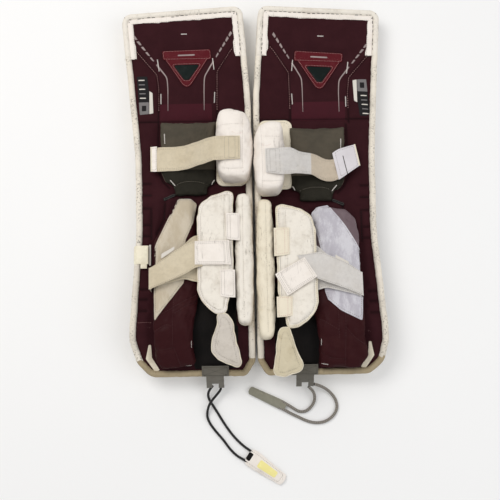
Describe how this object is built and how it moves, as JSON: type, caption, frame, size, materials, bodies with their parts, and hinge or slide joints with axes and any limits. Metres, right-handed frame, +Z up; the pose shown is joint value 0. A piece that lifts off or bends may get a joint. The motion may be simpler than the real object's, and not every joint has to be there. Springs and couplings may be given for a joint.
{
  "type": "goalie leg pads",
  "caption": "Hockey goaltender's leg pads, lying leg side up: foam in a leather shell with knee blocks, folding calf wings, straps and toe ties.",
  "frame": {"origin": "on the floor, in the middle of the pair's footprint without the toe ties", "axes": "+X towards the right-hand pad, +Y from toe to thigh, +Z up from the floor, on which the pads lie on their front faces"},
  "size_m": [0.5902, 1.0798, 0.1398],
  "materials": {
    "foam": "matte",
    "white_leather": "satin",
    "maroon_nylon": "matte",
    "maroon_leather": "satin",
    "maroon_gloss": "gloss",
    "label_cloth": "satin",
    "charcoal_fabric": "matte",
    "strap_webbing": "matte",
    "loop_fabric": "matte",
    "grey_webbing": "matte",
    "white_plastic": "satin",
    "black_bungee": "matte",
    "grey_braid": "matte"
  },
  "bodies": {
    "left_shin": {"left_shin_core": "foam", "left_shin_skin": "white_leather", "left_shin_liner": "maroon_nylon", "left_knee_cradle": "charcoal_fabric", "left_knee_block_base": "white_leather", "left_knee_block": "white_leather", "left_leg_channel": "maroon_nylon", "left_loop_panel": "loop_fabric", "left_calf_riser": "white_leather", "left_strap_anchor": "strap_webbing", "left_edge_clip": "white_plastic"},
    "left_thigh": {"left_thigh_core": "foam", "left_thigh_skin": "white_leather", "left_thigh_liner": "maroon_nylon", "left_name_patch": "maroon_gloss", "left_size_label": "label_cloth"},
    "left_boot": {"left_boot_core": "foam", "left_boot_skin": "white_leather", "left_boot_liner": "maroon_nylon", "left_boot_pad": "maroon_leather", "left_toe_tab": "grey_webbing", "left_toe_cord": "black_bungee", "left_cord_grip": "white_leather"},
    "left_knee_strap": {"left_knee_strap": "strap_webbing", "left_knee_strap_tab": "strap_webbing"},
    "left_calf_wing": {"left_calf_wing": "white_leather", "left_hinge_tabs": "white_leather", "left_ankle_tail": "white_leather"},
    "left_calf_strap": {"left_calf_strap": "strap_webbing", "left_calf_strap_tab": "strap_webbing"},
    "right_shin": {"right_shin_core": "foam", "right_shin_skin": "white_leather", "right_shin_liner": "maroon_nylon", "right_knee_cradle": "charcoal_fabric", "right_knee_block_base": "white_leather", "right_knee_block": "white_leather", "right_leg_channel": "maroon_nylon", "right_loop_panel": "loop_fabric", "right_calf_riser": "white_leather", "right_strap_anchor": "strap_webbing"},
    "right_thigh": {"right_thigh_core": "foam", "right_thigh_skin": "white_leather", "right_thigh_liner": "maroon_nylon", "right_name_patch": "maroon_gloss", "right_size_label": "label_cloth"},
    "right_boot": {"right_boot_core": "foam", "right_boot_skin": "white_leather", "right_boot_liner": "maroon_nylon", "right_boot_pad": "maroon_leather", "right_toe_tab": "grey_webbing", "right_toe_cord": "grey_braid", "right_cord_grip": "strap_webbing"},
    "right_knee_strap": {"right_knee_strap": "strap_webbing", "right_knee_strap_tab": "strap_webbing"},
    "right_calf_wing": {"right_calf_wing": "white_leather", "right_hinge_tabs": "white_leather", "right_ankle_tail": "white_leather"},
    "right_calf_strap": {"right_calf_strap": "strap_webbing", "right_calf_strap_tab": "strap_webbing"}
  },
  "joints": [
    {"name": "left_thigh_flex", "type": "hinge", "parent": "left_shin", "child": "left_thigh", "pos_m": [-0.15, 0.186, 0.046], "axis": [1, 0, 0], "range_deg": [0, 12], "stiffness_Nm_per_rad": 6},
    {"name": "left_boot_flex", "type": "hinge", "parent": "left_shin", "child": "left_boot", "pos_m": [-0.14, -0.30899, 0.07768], "axis": [-1, 0, 0], "range_deg": [0, 12], "stiffness_Nm_per_rad": 80},
    {"name": "left_knee_strap_open", "type": "hinge", "parent": "left_shin", "child": "left_knee_strap", "pos_m": [-0.028, 0.07554, 0.13624], "axis": [0, 0.998, -0.0639], "range_deg": [0, 85]},
    {"name": "left_calf_wing_open", "type": "hinge", "parent": "left_shin", "child": "left_calf_wing", "pos_m": [-0.041, -0.13601, 0.11872], "axis": [0, 0.998, -0.0639], "range_deg": [0, 80]},
    {"name": "left_calf_strap_open", "type": "hinge", "parent": "left_shin", "child": "left_calf_strap", "pos_m": [-0.2305, -0.19412, 0.11893], "axis": [0, -0.998, 0.0639], "range_deg": [0, 100]},
    {"name": "right_thigh_flex", "type": "hinge", "parent": "right_shin", "child": "right_thigh", "pos_m": [0.15, 0.186, 0.046], "axis": [1, 0, 0], "range_deg": [0, 12], "stiffness_Nm_per_rad": 6},
    {"name": "right_boot_flex", "type": "hinge", "parent": "right_shin", "child": "right_boot", "pos_m": [0.14, -0.30899, 0.07768], "axis": [-1, 0, 0], "range_deg": [0, 12], "stiffness_Nm_per_rad": 80},
    {"name": "right_knee_strap_open", "type": "hinge", "parent": "right_shin", "child": "right_knee_strap", "pos_m": [0.022, 0.04759, 0.13803], "axis": [0, -0.998, 0.0639], "range_deg": [0, 85]},
    {"name": "right_calf_wing_open", "type": "hinge", "parent": "right_shin", "child": "right_calf_wing", "pos_m": [0.041, -0.16795, 0.12076], "axis": [0, -0.998, 0.0639], "range_deg": [0, 80]},
    {"name": "right_calf_strap_open", "type": "hinge", "parent": "right_shin", "child": "right_calf_strap", "pos_m": [0.2305, -0.22605, 0.12097], "axis": [0, 0.998, -0.0639], "range_deg": [0, 100]},
    {"name": "pads_apart", "type": "slide", "parent": "left_shin", "child": "right_shin", "axis": [1, 0, 0], "range_m": [0, 0.25]}
  ],
  "couplings": [
    {"joint": "left_calf_strap_open", "follows": "left_calf_wing_open", "ratio": 1.25},
    {"joint": "right_calf_strap_open", "follows": "right_calf_wing_open", "ratio": 1.25}
  ]
}
